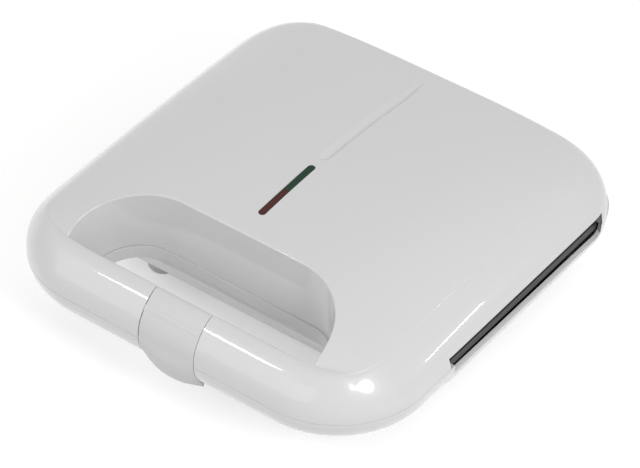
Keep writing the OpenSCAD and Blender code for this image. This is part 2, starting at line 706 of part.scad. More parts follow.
thermostat_in = 16;                          // distance inside the end of the side clamp's foot
thermostat_x = element_hw - clamp_l / 2 - thermostat_in;
thermostat_d = 16;
thermostat_h = 6;
cap_screw_bite = 2;
cap_screw_d = 3;
flange_l = 28;
flange_w = 10;
flange_t = 1;
flange_end = 3;                              // distance of its screws from the flange's ends
thermostat_screw_at = [for (s = [-1, 1]) [thermostat_x + s * (flange_l / 2 - flange_end), plate_yc]];
module thermostat() color("tan") {
    difference() {
        translate([thermostat_x - flange_l / 2, plate_yc - flange_w / 2, plate_back])
            cube([flange_l, flange_w, flange_t]);
        at(thermostat_screw_at, plate_back - 1) cylinder(d = cap_screw_d + 0.2, h = flange_t + 2);
    }
    translate([thermostat_x, plate_yc, plate_back]) {
        cylinder(d = thermostat_d, h = thermostat_h);
        for (y = [-3.5, 3.5]) translate([-blade_w / 2, y - blade_t / 2, thermostat_h - 0.5])
            cube([blade_w, blade_t, 5]);
    }
}
module thermostat_screws() color("silver") at(thermostat_screw_at, plate_back - cap_screw_bite) {
    cylinder(d = cap_screw_d, h = cap_screw_bite + flange_t + 0.2);
    translate([0, 0, cap_screw_bite + flange_t]) cylinder(d = 5.4, h = 1.8);
}

// ---- lamps and lenses, along the fall of the crown at the slot ----

slot_y0 = front_y + slot_y;
slot_yc = slot_y0 + slot_l / 2;
slot_top = part_z + (crown_at(0, slot_y0) + crown_at(0, slot_y0 + slot_l)) / 2;
slot_tilt = atan2(crown_at(0, slot_y0 + slot_l) - crown_at(0, slot_y0), slot_l);
module on_slot(z) translate([0, slot_yc, slot_top + z]) rotate([slot_tilt, 0, 0]) children();
module stadium(l, w) {
    square([w, l - w], center = true);
    for (s = [-1, 1]) translate([0, s * (l - w) / 2]) circle(d = w);
}
lens_h = 3.5;
lens_sink = 0.1;
lens_w = slot_w - 2 * frame_w;
lens_l = slot_l - 2 * frame_w;
module lens_frame() color("black") on_slot(-lens_h - lens_sink) difference() {
    union() {
        linear_extrude(lens_h) stadium(slot_l - 0.1, slot_w - 0.1);
        linear_extrude(lens_h + lens_sink - wall - 0.3)
            stadium(slot_l + 3, slot_w + 3);
    }
    translate([0, 0, -1]) linear_extrude(lens_h + 2) stadium(lens_l, lens_w);
}
module lens(s) on_slot(-lens_h - lens_sink + 0.4) linear_extrude(lens_h - 0.5) {
    translate([0, s * (lens_l - lens_w) / 2]) circle(d = lens_w - 0.06);
    translate([-lens_w / 2 + 0.03, s > 0 ? 0.05 : -(lens_l - lens_w) / 2])
        square([lens_w - 0.06, (lens_l - lens_w) / 2 - 0.05]);
}
module red_lens() color("darkred") lens(-1);
module green_lens() color("darkgreen") lens(1);

holder_w = 20;
holder_l = slot_l + 5;
holder_h = 8;
holder_top = -lens_h - lens_sink;
module lamp_holder() color("whitesmoke") on_slot(holder_top - holder_h) difference() {
    translate([-holder_w / 2, -holder_l / 2, 0]) cube([holder_w, holder_l, holder_h - seat_gap]);
    for (y = [-1, 1]) translate([-3.5, y * holder_l / 4 - 10, 1.2]) cube([7, 20, holder_h]);
    for (x = [-1, 1]) translate([x * 6.8 - 2, -holder_l / 2 + 3, 1.2]) cube([4, holder_l - 6, holder_h]);
}
lamp_d = 5.4;
module lamp(s) on_slot(holder_top - holder_h)
    translate([0, s * holder_l / 4 - 8, 1.2 + lamp_d / 2 + seat_gap]) rotate([-90, 0, 0]) {
        cylinder(d = lamp_d, h = 11);
        translate([0, 0, 11]) cylinder(d1 = lamp_d, d2 = 1.2, h = 2.5);
        for (x = [-1.2, 1.2]) translate([x, 0, -1.8]) cylinder(d = 0.8, h = 2);
    }
module power_lamp() color("orangered") lamp(-1);
module ready_lamp() color("yellowgreen") lamp(1);
module lamp_resistors() color("peru") for (x = [-1, 1])
    on_slot(holder_top - holder_h) translate([x * 6.8, -9, 1.2 + 1.25 + seat_gap]) rotate([-90, 0, 0]) {
        cylinder(d = 2.5, h = 7);
        translate([0, 0, -4]) cylinder(d = 0.7, h = 15);
    }

module lid_wiring() {
    top = part_z + shield_off + shield_t + lead_d / 2 + 0.3;
    color("brown")
        lead([[element_end, blade_y + 0.3, element_high], [element_end, blade_y + 3.5, element_high],
            [element_end + 4, blade_y + 4, element_high + 0.6],
            [element_end + 7, blade_y, element_high + 2.5], [element_end + 9, blade_y - 7, top - 1],
            [30, plate_y1 - 14, top], [thermostat_x - 8, plate_yc + 20, top],
            [thermostat_x - 6, plate_yc + 9, top], [thermostat_x - 1, plate_yc + 5.5, top + 1]]);
    color("royalblue")
        lead([[-element_end, blade_y + 0.3, element_high], [-element_end, blade_y + 3.5, element_high],
            [-element_end + 2, blade_y + 5, element_high - 9], [-5, blade_y + 7, part_z + 9]], [1, 0, 0]);
    color("brown")
        lead([[thermostat_x - 1, plate_yc - 5.5, top + 1], [thermostat_x - 8, plate_yc - 9, top],
            [36, plate_yc - 20, top], [22, slot_yc + 8, top], [holder_w / 2 + 1.6, slot_yc + 2, top + 2]]);
}

// ---- lid ----

latch_y = front_y + 8;
latch_z = part_z + 14;
cheek = wall;
module lid_housing() color("gainsboro") difference() {
    union() {
        difference() {
            lid_form(0);
            difference() {
                lid_form(wall);
                lid_recess(wall);
                handle_ribs(part_z + rib_short, bar_top - rib_short);
                deck(part_z);
                for (s = [-1, 1]) translate([s * (slot_hw + cheek / 2) - cheek / 2, front_y, part_z - 2])
                    cube([cheek, bar_d, lid_h]);
            }
            lid_recess(0);
        }
        lug_zones(knuckle_d, 0);
        for (p = lid_screw_at) translate([p[0], p[1], rim_high])
            cylinder(d = boss_d, h = part_z + crown_at(p[0], p[1]) - 1.2 - rim_high);
    }
    ear_zones(clear_d, knuckle_gap);
    hinge_bores(hinge_pin_d + 2 * pin_clear);
    side_windows(1);
    // slot for the clip, open at the bar's rear above the wall
    translate([-slot_hw, front_y - 1, part_z - 1]) cube([2 * slot_hw, bar_d - wall + 1, lid_h]);
    translate([-slot_hw, front_y + bar_d - wall - 1, latch_z - 2.5]) cube([2 * slot_hw, wall + 2, lid_h]);
    translate([-slot_hw - cheek - 1, latch_y, latch_z]) rotate([0, 90, 0])
        cylinder(d = latch_pin_d + 0.04, h = 2 * (slot_hw + cheek + 1));
    on_slot(-lens_h - 1) linear_extrude(10) stadium(slot_l, slot_w);
    on_slot(-wall - 4) linear_extrude(4) stadium(slot_l + 3.2, slot_w + 3.2);
    for (p = lid_screw_at) translate([p[0], p[1], rim_high - 1]) cylinder(d = screw_d, h = 12);
    groove();
}

// shallow channel behind the slot, its floor an arc that follows the crown's fall
groove_r = 1 / (2 * crown_fall);
groove_gap = 5.5;
groove_yc = slot_y0 + slot_l + groove_gap + groove_l / 2;
module groove() difference() {
    translate([0, groove_yc, part_z + crease_z]) linear_extrude(lid_h) stadium(groove_l, groove_w);
    translate([-groove_w, front_y + crown_y, part_z + lid_h - groove_r]) rotate([0, 90, 0])
        cylinder(r = groove_r - groove_h, h = 2 * groove_w, $fn = 480);
}

lid_screw_l = 9;                             // bite of the lid's screws beyond the plate's rim
module upper_plate_screws() color("silver") for (p = lid_screw_at)
    translate([p[0], p[1], part_z + plate_gap / 2 + 0.2]) {
        cylinder(d = head_d, h = head_h);
        cylinder(d = screw_d, h = rim_t + lid_screw_l);
    }

// ---- pins and latch ----

module hinge_pin() color("silver") along_x(knuckle_x + 0.2, hinge_pin_d, pin_l - 0.4);
module right_hinge_pin() hinge_pin();
module left_hinge_pin() mirror([1, 0, 0]) hinge_pin();

module latch_pin() color("silver") translate([-slot_hw - cheek + 0.2, latch_y, latch_z])
    rotate([0, 90, 0]) cylinder(d = latch_pin_d, h = 2 * (slot_hw + cheek - 0.2));

// the clip's section, as depth behind the front edge and height over the parting line:
// a skin over the bar that grows into a full lip under it
hook_tip = keeper_d - hook_gap;
lip_z = -4;
function lip_at(a) =
    [hook_tip - (hook_tip + latch_proud) * cos(a), lip_z - (latch_drop + lip_z) * sin(a)];
lip_arc = [for (a = [0:10:90]) lip_at(a)];
function skin_arc(grow) = [for (z = [bar_top - 0.5:-3:3]) [front_in(z) + grow, z - grow * z / bar_top]];
module latch_section() difference() {
    union() {
        polygon(concat([[bar_d - 0.4, bar_top + 0.2], [bar_top_in, bar_top]], skin_arc(0), lip_arc,
            [[hook_tip, -2]], reverse(skin_arc(latch_t)), [[bar_d - 0.4, bar_top - latch_t]]));
        translate([latch_y - front_y, latch_z - part_z]) circle(d = latch_hub_d);
    }
    translate([latch_y - front_y, latch_z - part_z]) circle(d = latch_pin_d + 2 * pin_clear);
}
function reverse(v) = [for (i = [len(v) - 1:-1:0]) v[i]];
// the lip curves back at both ends, along a leaning cylinder that touches its middle
lip_r = latch_w * latch_w / (8 * latch_round * cos(latch_lean));
module latch() color("gainsboro") intersection() {
    translate([-latch_w / 2, front_y, part_z]) rotate([90, 0, 90]) linear_extrude(latch_w) latch_section();
    translate([0, front_y + lip_at(60)[0], part_z + lip_at(60)[1]]) rotate([latch_lean, 0, 0])
        translate([0, lip_r, -lid_h / 2]) cylinder(r = lip_r, h = 2 * lid_h);
}

base_housing();
lower_plate();
lower_element();
lower_element_clamps();
lower_heat_shield();
base_screws();
front_left_foot();
front_right_foot();
rear_left_foot();
rear_right_foot();
terminal_block();
thermal_fuse();
cord_gland();
earth_tag();
base_wiring();
left_hinge_pin();
right_hinge_pin();
lid_housing();
upper_plate();
upper_element();
upper_element_clamps();
upper_heat_shield();
upper_plate_screws();
thermostat();
thermostat_screws();
lens_frame();
red_lens();
green_lens();
lamp_holder();
power_lamp();
ready_lamp();
lamp_resistors();
lid_wiring();
latch_pin();
latch();
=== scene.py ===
import json
import math

import bmesh
import bpy
import numpy as np
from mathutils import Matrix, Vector


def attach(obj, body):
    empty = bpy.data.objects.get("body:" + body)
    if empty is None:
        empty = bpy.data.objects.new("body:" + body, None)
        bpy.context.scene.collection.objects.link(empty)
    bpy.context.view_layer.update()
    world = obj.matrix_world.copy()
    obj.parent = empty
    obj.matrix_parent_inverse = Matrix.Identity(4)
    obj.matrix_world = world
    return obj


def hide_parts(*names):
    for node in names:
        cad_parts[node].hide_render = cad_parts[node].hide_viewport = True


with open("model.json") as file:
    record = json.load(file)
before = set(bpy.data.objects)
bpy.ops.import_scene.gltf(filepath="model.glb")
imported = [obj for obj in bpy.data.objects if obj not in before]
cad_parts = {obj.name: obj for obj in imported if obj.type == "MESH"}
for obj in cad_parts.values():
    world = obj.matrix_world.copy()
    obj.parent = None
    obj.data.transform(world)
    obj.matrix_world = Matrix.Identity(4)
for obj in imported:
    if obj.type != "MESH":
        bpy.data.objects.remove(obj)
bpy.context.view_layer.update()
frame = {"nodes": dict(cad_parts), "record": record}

MM = 0.001
NODES = frame["nodes"]

# ---- sizes ----

PART_Z = 40.0            # parting line above the table
HALF_W = 115.0
FRONT_Y, REAR_Y, LID_REAR_Y = -117.25, 114.75, 111.75
FRONT_R, REAR_R = 50, 32     # corner radii in plan
BAR_Y = -100.75          # rear face of the handle bar
WALL = 2.4
RIM_GAP = 0.15           # the base's rim lies this far under the parting line
STEP_Y = -41.35          # front end of the side windows, where the base steps in
LID_WINDOW_Y = -44.9     # front end of the side windows in the lid
WINDOW_REAR_Y = 87.85
WINDOW_X = 105.0         # inner end of the cutter of a window
WINDOW_H = 6.0           # height of a window above and below the parting line
WINDOW_FLARE = 0.9       # how fast a window's rear end comes forward on its way out
SILL_FALL = 1.9          # fall of the base's sill across its wall
PLATE_HW, PLATE_Y0, PLATE_Y1, PLATE_YC = 110.9, -40.75, 87.25, 23.25
HINGE_Y = 113.25
KNUCKLE_D, HINGE_PIN_D = 10.0, 4.0
EARS = ((40.0, 47.0), (63.8, 70.8))  # the base's parts of a hinge, from and to along X
LUGS = ((47.4, 63.4),)               # the lid's part between them
PINS = ((40, 70.8),)                 # the pin through all three
CLIP_HW, CLIP_SLOT_HW = 16.8, 17.15
CLIP_Y, CLIP_Z = -109.25, 54.0
KEEPER_Y = FRONT_Y + 8.2     # front face of the keeper behind the clip
SLOT_L, SLOT_W, SLOT_YC = 43.0, 4.2, -22.25
RECESS = (75.0, 42.9, 38.0)  # half width, depth and corner radius of the finger recess at its rim
HOLE = (68.0, 40.8, 24.0)    # the same at the lid's underside
BASE_HOLE = (67.2, 40.0, 24.0)
BASE_HOLE_LOW = (66.4, 39.6, 23.4)
HOLE_FRONT_R = 0.8
BOSS_D = 9                   # post round a screw
SCREWS = [(x, y) for x in (-52, 52) for y in (PLATE_Y0 + 5, PLATE_Y1 - 5)]
BASE_SCREWS = [(x, y) for x in (-86, 86) for y in (PLATE_Y0 + 6, PLATE_Y1 - 6)]
FEET = [(x, y) for x in (-69, 69) for y in (FRONT_Y + 81, REAR_Y - 32)]


# ---- curves in plan ----

def line(a, b):
    """Straight run of points, and the weight of its length."""
    return np.linspace(a, b, 60), 1.0


def bend(cx, cy, r, a0, a1):
    """Arc about a centre from angle a0 to a1; its points lie closer than a line's."""
    a = np.radians(np.linspace(a0, a1, 160))
    return np.c_[cx + r * np.cos(a), cy + r * np.sin(a)], 1.0 + 60.0 / max(r, 8.0)


def spaced(pieces, n):
    """n + 1 points along joined lines and bends, closer where the weight is higher."""
    points, weights = [], []
    for p, w in pieces:
        points.append(p if not points else p[1:])
        weights.append(np.full(len(p) - 1, w))
    points, weights = np.vstack(points), np.concatenate(weights)
    run = np.r_[0, np.cumsum(np.hypot(*np.diff(points, axis=0).T) * weights)]
    at = np.linspace(0, run[-1], n + 1)
    return np.c_[np.interp(at, run, points[:, 0]), np.interp(at, run, points[:, 1])]


# points in each of the five sections of half an outline, and each point's place: 0 front, 5 rear
COUNTS = (30, 5, 22, 44, 34)
STATION = np.concatenate([k + np.arange(n) / n for k, n in enumerate(COUNTS)] + [[5.0]])
STATION = np.concatenate([STATION, STATION[-2:0:-1]])


def whole(sections):
    """Loop of points from the front's middle, right round and back, from its right half."""
    half = [spaced(s, n) for s, n in zip(sections, COUNTS)]
    right = np.vstack([h[:-1] for h in half] + [half[-1][-1:]])
    return np.vstack([right, right[-2:0:-1] * (-1, 1)])


def rim_loop(w, y0, y1, rf, rr):
    """Rounded outline of a shell, with stations that face those of the hole."""
    fx, fy, rx, ry = w - rf, y0 + rf, w - rr, y1 - rr
    split = fy + 0.3 * (ry - fy)
    return whole([
        [line((0, y0), (fx, y0)), bend(fx, fy, rf, -90, -52)],
        [bend(fx, fy, rf, -52, -42)],
        [bend(fx, fy, rf, -42, 0), line((w, fy), (w, split))],
        [line((w, split), (w, ry)), bend(rx, ry, rr, 0, 45)],
        [bend(rx, ry, rr, 45, 90), line((rx, y1), (0, y1))]])


def hole_loop(w, d, r, grow=0.0):
    """Outline of the finger hole, its front edge on the rear face of the bar."""
    w, y0, y1, r, r0 = w + grow, BAR_Y - grow, BAR_Y + d + grow, r + grow, HOLE_FRONT_R
    return whole([
        [line((0, y0), (w - r0, y0))],
        [bend(w - r0, y0 + r0, r0, -90, 0)],
        [line((w, y0 + r0), (w, y1 - r))],
        [bend(w - r, y1 - r, r, 0, 90)],
        [line((w - r, y1), (0, y1))]])


def at_z(plan, z):
    """Plan points lifted to one height or to a height each."""
    return np.c_[plan, np.broadcast_to(z, len(plan))]


def smooth_step(v, a, b):
    """0 up to a, 1 from b, and smooth between."""
    t = np.clip((v - a) / (b - a), 0, 1)
    return t * t * (3 - 2 * t)


def along(points, n):
    """n + 1 points on a smooth curve through a few, at even steps."""
    p = np.asarray(points, float)
    p = np.vstack([2 * p[0] - p[1], p, 2 * p[-1] - p[-2]])
    t = np.linspace(0, 1, 20, endpoint=False)[:, None]
    runs = [0.5 * (2 * b + (c - a) * t + (2 * a - 5 * b + 4 * c - d) * t ** 2
                   + (3 * b - a - 3 * c + d) * t ** 3)
            for a, b, c, d in zip(p, p[1:], p[2:], p[3:])]
    dense = np.vstack(runs + [p[-2:-1]])
    run = np.r_[0, np.cumsum(np.hypot(*np.diff(dense, axis=0).T))]
    at = np.linspace(0, run[-1], n + 1)
    return np.c_[np.interp(at, run, dense[:, 0]), np.interp(at, run, dense[:, 1])]


def rounded(before, corner, after, trim, n):
    """n + 1 rows of a fillet that starts at trim from the corner, between the rows before and after."""
    a = corner + (before - corner) * (trim / np.linalg.norm(before - corner, axis=1))[:, None]
    b = corner + (after - corner) * (trim / np.linalg.norm(after - corner, axis=1))[:, None]
    return [a * (1 - t) ** 2 + corner * 2 * t * (1 - t) + b * t * t for t in np.linspace(0, 1, n + 1)]


# ---- meshes ----

def piece(name, points, faces):
    """Object from points in millimetres, with its faces turned outward."""
    mesh = bpy.data.meshes.new(name)
    mesh.from_pydata((np.asarray(points, float) * MM).tolist(), [], faces)
    form = bmesh.new()
    form.from_mesh(mesh)
    bmesh.ops.recalc_face_normals(form, faces=form.faces)
    if form.calc_volume(signed=True) < 0:
        bmesh.ops.reverse_faces(form, faces=form.faces)
    form.to_mesh(mesh)
    form.free()
    ob = bpy.data.objects.new(name, mesh)
    bpy.context.scene.collection.objects.link(ob)
    return ob


def tube_of_rows(name, rows):
    """Closed tube: every row is a loop, and the last row joins the first."""
    n, k = len(rows[0]), len(rows)
    faces = [(i * n + j, i * n + (j + 1) % n, (i + 1) % k * n + (j + 1) % n, (i + 1) % k * n + j)
             for i in range(k) for j in range(n)]
    return piece(name, np.vstack(rows), faces)


def stack_of_rows(name, rows):
    """Closed stack of loops, with a flat cap at both ends."""
    n, k = len(rows[0]), len(rows)
    faces = [(i * n + j, i * n + (j + 1) % n, (i + 1) * n + (j + 1) % n, (i + 1) * n + j)
             for i in range(k - 1) for j in range(n)]
    faces += [tuple(range(n)), tuple(range((k - 1) * n, k * n))]
    return piece(name, np.vstack(rows), faces)


def block(x0, x1, y0, y1, z0, z1):
    """Box between two values on each axis."""
    plan = np.array([(x0, y0), (x1, y0), (x1, y1), (x0, y1)], float)
    return stack_of_rows("block", [at_z(plan, z0), at_z(plan, z1)])


def rod(x0, x1, y, z, d, bevel=0.0, n=64):
    """Round bar along X."""
    a = np.linspace(0, 2 * math.pi, n, endpoint=False)
    ring = np.c_[np.cos(a), np.sin(a)]
    ends = [(x0, d / 2 - bevel), (x0 + bevel, d / 2), (x1 - bevel, d / 2), (x1, d / 2 - bevel)]
    if bevel == 0:
        ends = [(x0, d / 2), (x1, d / 2)]
    return stack_of_rows("rod", [np.c_[np.full(n, x), y + r * ring[:, 0], z + r * ring[:, 1]]
                                 for x, r in ends])


def post(x, y, z0, z1, d, n=48):
    """Upright round bar."""
    a = np.linspace(0, 2 * math.pi, n, endpoint=False)
    plan = np.c_[x + d / 2 * np.cos(a), y + d / 2 * np.sin(a)]
    return stack_of_rows("post", [at_z(plan, z0), at_z(plan, z1)])


def combine(ob, operation, tools):
    """Cuts tools from ob or joins them to it; the tools are used up."""
    for tool in tools:
        change = ob.modifiers.new("change", "BOOLEAN")
        change.operation, change.object, change.solver = operation, tool, "MANIFOLD"
        bake(ob)
        bpy.data.objects.remove(tool)
    return ob


def cut(ob, *tools):
    return combine(ob, "DIFFERENCE", tools)


def join(ob, *tools):
    return combine(ob, "UNION", tools)


def bake(ob):
    """Puts the result of the modifiers into the mesh."""
    done = ob.evaluated_get(bpy.context.evaluated_depsgraph_get())
    mesh = bpy.data.meshes.new_from_object(done)
    ob.modifiers.clear()
    old, ob.data = ob.data, mesh
    bpy.data.meshes.remove(old)


def smoothed(ob, angle=32):
    """Smooth faces with sharp edges, large flat faces keeping their normal."""
    ob.data.shade_smooth()
    ob.data.set_sharp_from_angle(angle=math.radians(angle))
    even = ob.modifiers.new("even", "WEIGHTED_NORMAL")
    even.keep_sharp = True
    bake(ob)
    return ob


def finished(ob, name, body, slot, *nodes):
    """Names a piece, puts it on its body and gives it its slot's material."""
    ob.name = ob.data.name = name
    ob.data.materials.clear()
    ob.data.materials.append(finishes[slot])
    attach(ob, body)
    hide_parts(*nodes)
    return ob


# ---- node materials ----

class Value:
    """A socket of a material, which sums and products turn into Math nodes."""

    def __init__(self, tree, socket):
        self.tree, self.socket = tree, socket

    def math(self, operation, a, b):
        return self.tree.add("ShaderNodeMath", {"operation": operation}, {0: a, 1: b})

    def __add__(self, other):
        return self.math("ADD", self, other)

    __radd__ = __add__

    def __mul__(self, other):
        return self.math("MULTIPLY", self, other)

    __rmul__ = __mul__

    def __sub__(self, other):
        return self.math("SUBTRACT", self, other)


class Tree:
    """The nodes of a material or of the world."""

    def __init__(self, owner):
        owner.use_nodes = True
        self.nodes, self.links = owner.node_tree.nodes, owner.node_tree.links
        self.nodes.clear()

    def add(self, kind, settings=None, sockets=None, out=0):
        """Adds a node; settings go first, then values or links for its sockets."""
        node = self.nodes.new(kind)
        for key, value in (settings or {}).items():
            setattr(node, key, value)
        for key, value in (sockets or {}).items():
            if isinstance(value, Value):
                self.links.new(value.socket, node.inputs[key])
            else:
                node.inputs[key].default_value = value
        return None if out is None else Value(self, node.outputs[out])

    def seen(self):
        """1 where the camera, a mirror or a glass looks, 0 for light that falls on the object."""
        direct, mirrored, through = [self.add("ShaderNodeLightPath", out=f"Is {kind} Ray")
                                     for kind in ("Camera", "Glossy", "Transmission")]
        return self.add("ShaderNodeMath", {"operation": "MAXIMUM"}, {0: direct + mirrored, 1: through})


class Finish(Tree):
    """A node material that ends in one Principled shader."""

    def __init__(self, name, **constants):
        self.material = bpy.data.materials.new(name)
        super().__init__(self.material)
        self.shader = self.nodes.new("ShaderNodeBsdfPrincipled")
        out = self.nodes.new("ShaderNodeOutputMaterial")
        self.links.new(self.shader.outputs[0], out.inputs["Surface"])
        for key, value in constants.items():
            self.shader.inputs[key.replace("_", " ")].default_value = value
        self.place = self.add("ShaderNodeTexCoord", out="Object")

    def noise(self, size_mm, detail=2.0, stretch=(1, 1, 1), rough=0.5):
        """Noise between 0 and 1 whose grains measure about size_mm."""
        place = self.add("ShaderNodeMapping", {}, {"Vector": self.place, "Scale": stretch})
        return self.add("ShaderNodeTexNoise", {}, {
            "Vector": place, "Scale": 1 / (size_mm * MM), "Detail": detail, "Roughness": rough})

    def between(self, value, low, high):
        """0 under low, 1 over high, and smooth between."""
        return self.add("ShaderNodeMapRange", {"interpolation_type": "SMOOTHSTEP"}, {
            "Value": value, "From Min": low, "From Max": high})

    def mix(self, factor, a, b):
        return self.add("ShaderNodeMix", {"data_type": "RGBA"}, {0: factor, 6: a, 7: b}, out=2)

    def colour(self, value):
        self.feed("Base Color", value)

    def roughness(self, value):
        self.feed("Roughness", value)

    def feed(self, key, value):
        self.links.new(value.socket, self.shader.inputs[key])

    def bump(self, height, depth_mm):
        self.feed("Normal", self.add("ShaderNodeBump", {}, {
            "Height": height, "Distance": depth_mm * MM, "Strength": 1.0}))

    def edge(self):
        """1 on convex edges: where hands and cloths rub wear into them, and where a painted edge
        highlight lightens moulded plastic.
        """
        return self.between(self.add("ShaderNodeNewGeometry", out="Pointiness"), 0.52, 0.6)


def shade(colour, by):
    """A colour made lighter or darker, with its alpha."""
    return (*(c * by for c in colour), 1)


def moulded(name, colour, gloss, orange_peel=0.004, coat=0.0):
    """Injection-moulded plastic: faint flow marks, a little haze, convex edges a little glossier and
    painted lighter as a highlight.
    """
    f = Finish(name, IOR=1.5, Coat_Weight=coat, Coat_Roughness=0.03)
    flow = f.noise(38, 3, (1, 0.6, 1))
    dust = f.between(f.noise(1.6, 4, rough=0.7), 0.62, 0.78)
    base = f.mix(flow, shade(colour, 0.985), shade(colour, 1.01))
    # the convex edges get a lighter colour here: a painted highlight along them
    f.colour(f.mix(f.edge() * 0.35, base, shade(colour, 1.04)))
    f.roughness(gloss + 0.05 * flow + 0.05 * dust - 0.02 * f.edge())
    f.bump(f.noise(2.4, 2) * 0.8 + f.noise(0.5, 1) * 0.2, orange_peel)
    return f.material


def coated(name, colour):
    """Cast plate under a dark non-stick coat: fine speckle, worn a little on the ridges."""
    f = Finish(name, IOR=1.45)
    speckle = f.between(f.noise(0.5, 3), 0.55, 0.75)
    worn = f.edge() * f.between(f.noise(3, 3), 0.45, 0.7)
    base = f.mix(speckle * 0.35, shade(colour, 0.9), shade(colour, 1.7))
    f.colour(f.mix(worn * 0.5, base, shade(colour, 3.0)))
    f.roughness(0.38 + 0.14 * f.noise(5, 3) - 0.08 * worn)
    f.bump(f.noise(0.7, 3), 0.02)
    return f.material


def metal(name, colour, rough, grain=(1, 1, 14), tint=None):
    """Drawn or rolled metal: fine lines along the grain, duller patches, bright edges."""
    f = Finish(name, Metallic=1.0)
    lines = f.noise(2.0, 4, grain, 0.7)
    patch = f.noise(9, 2)
    base = f.mix(lines, shade(colour, 0.86), shade(colour, 1.08))
    if tint:
        base = f.mix(f.between(patch, 0.4, 0.7), base, (*tint, 1))
    f.colour(f.mix(f.edge() * 0.4, base, shade(colour, 1.2)))
    f.roughness(rough + 0.12 * patch + 0.1 * lines)
    f.bump(lines, 0.006)
    return f.material


def baked(name, colour, rough=0.65):
    """Unglazed ceramic or painted body: a sandy speckle and chalky patches."""
    f = Finish(name, IOR=1.5)
    speck = f.between(f.noise(0.6, 3), 0.5, 0.72)
    f.colour(f.mix(speck * 0.5, shade(colour, 1.04), shade(colour, 0.8)))
    f.roughness(rough + 0.15 * f.noise(4, 2))
    f.bump(f.noise(0.4, 2), 0.02)
    return f.material


def sleeve(name, colour):
    """Silicone sleeve on a wire: soft sheen, a fine matt texture."""
    f = Finish(name, IOR=1.42)
    f.colour(f.mix(f.noise(6, 2), shade(colour, 0.85), shade(colour, 1.15)))
    f.roughness(0.5 + 0.15 * f.noise(2, 2))
    f.bump(f.noise(0.5, 2), 0.015)
    return f.material


def tinted(name, colour, rough=0.12, through=0.0):
    """Tinted clear plastic or glass with a faint inner ribbing."""
    f = Finish(name, IOR=1.49 if through else 1.3, Transmission_Weight=through)
    ribs = f.noise(1.1, 2, (1, 3, 1))
    f.colour(f.mix(ribs, shade(colour, 0.75), shade(colour, 1.3)))
    f.roughness(rough + 0.08 * ribs)
    f.bump(ribs, 0.01)
    return f.material


WHITE = (0.76, 0.76, 0.765)
finishes = {
    "housing_white": moulded("white_shell", WHITE, 0.26, coat=0.8),
    "clip_white": moulded("white_clip", shade(WHITE, 0.985)[:3], 0.42),
    "foot_white": moulded("white_foot", (0.74, 0.74, 0.73), 0.4, 0.02),
    "plate_grey": coated("dark_coat", (0.036, 0.036, 0.039)),
    "element_steel": metal("heated_tube", (0.36, 0.35, 0.33), 0.35, (1, 1, 1), (0.3, 0.22, 0.17)),
    "spring_steel": metal("spring_strip", (0.62, 0.62, 0.62), 0.25),
    "shield_steel": metal("bright_sheet", (0.7, 0.7, 0.71), 0.22, (14, 1, 1)),
    "screw_steel": metal("zinc_screw", (0.6, 0.6, 0.61), 0.3, (1, 1, 1)),
    "pin_steel": metal("ground_pin", (0.66, 0.66, 0.67), 0.18, (14, 1, 1)),
    "block_plastic": moulded("block_cream", (0.8, 0.79, 0.74), 0.45, 0.02),
    "fuse_ceramic": baked("fuse_body", (0.8, 0.76, 0.66)),
    "gland_black": moulded("gland_black", (0.045, 0.045, 0.048), 0.45, 0.02),
    "tag_brass": metal("brass_tag", (0.72, 0.56, 0.26), 0.3),
    "wire_sleeve": sleeve("brown_sleeve", (0.33, 0.2, 0.13)),
    "thermostat_ceramic": baked("thermostat_body", (0.66, 0.55, 0.42)),
    "frame_black": moulded("frame_black", (0.02, 0.018, 0.018), 0.25, 0.008),
    "lens_red": tinted("red_lens", (0.08, 0.014, 0.009)),
    "lens_green": tinted("green_lens", (0.006, 0.05, 0.02)),
    "holder_plastic": moulded("holder_white", (0.78, 0.77, 0.74), 0.4, 0.02),
    "lamp_glass_orange": tinted("orange_lamp", (0.95, 0.5, 0.3), 0.05, 0.6),
    "lamp_glass_green": tinted("green_lamp", (0.5, 0.85, 0.5), 0.05, 0.6),
    "resistor_paint": baked("resistor_paint", (0.7, 0.55, 0.38), 0.5),
}

# ---- camera, floor and light ----

camera = bpy.data.objects.new("camera", bpy.data.cameras.new("camera"))
camera.location = (0.72912, -0.95706, 1.09274)
camera.rotation_euler = [math.radians(a) for a in (48.62, 0, 37.18)]
camera.data.lens, camera.data.sensor_width = 180.87, 36
bpy.context.scene.collection.objects.link(camera)
bpy.context.scene.camera = camera

FLOOR_HALF = 3000
FLOOR_LIFT = 0.4         # light added to what is seen of the floor
FLOOR_BOUNCE = 0.6       # how much the floor throws back at the object


def floor_finish():
    """Pale floor: white where nothing shades it, so that only the contact shadow shows."""
    f = Finish("floor", Roughness=0.9, Specular_IOR_Level=0.0, Emission_Strength=1.0)
    pale = f.mix(f.noise(200, 2), (0.94, 0.94, 0.935, 1), (0.96, 0.96, 0.955, 1))
    f.colour(f.mix(f.seen(), shade((1, 1, 1), FLOOR_BOUNCE), pale))
    f.feed("Emission Color", f.mix(f.seen(), (0, 0, 0, 1), shade((1, 1, 1), FLOOR_LIFT)))
    return f.material


floor = piece("floor", [(-FLOOR_HALF, -FLOOR_HALF, 0), (FLOOR_HALF, -FLOOR_HALF, 0),
                        (FLOOR_HALF, FLOOR_HALF, 0), (-FLOOR_HALF, FLOOR_HALF, 0)], [(0, 1, 2, 3)])
floor.data.materials.append(floor_finish())


def studio(level):
    """Even pale light all round, white where it is seen."""
    world = bpy.data.worlds.new("studio")
    bpy.context.scene.world = world
    tree = Tree(world)
    light = tree.add("ShaderNodeBackground", {}, {"Color": (1, 1, 1, 1), "Strength": level})
    white = tree.add("ShaderNodeBackground", {}, {"Color": (1, 1, 1, 1), "Strength": 1.0})
    mixed = tree.add("ShaderNodeMixShader", {}, {0: tree.seen(), 1: light, 2: white})
    tree.add("ShaderNodeOutputWorld", {}, {"Surface": mixed}, out=None)


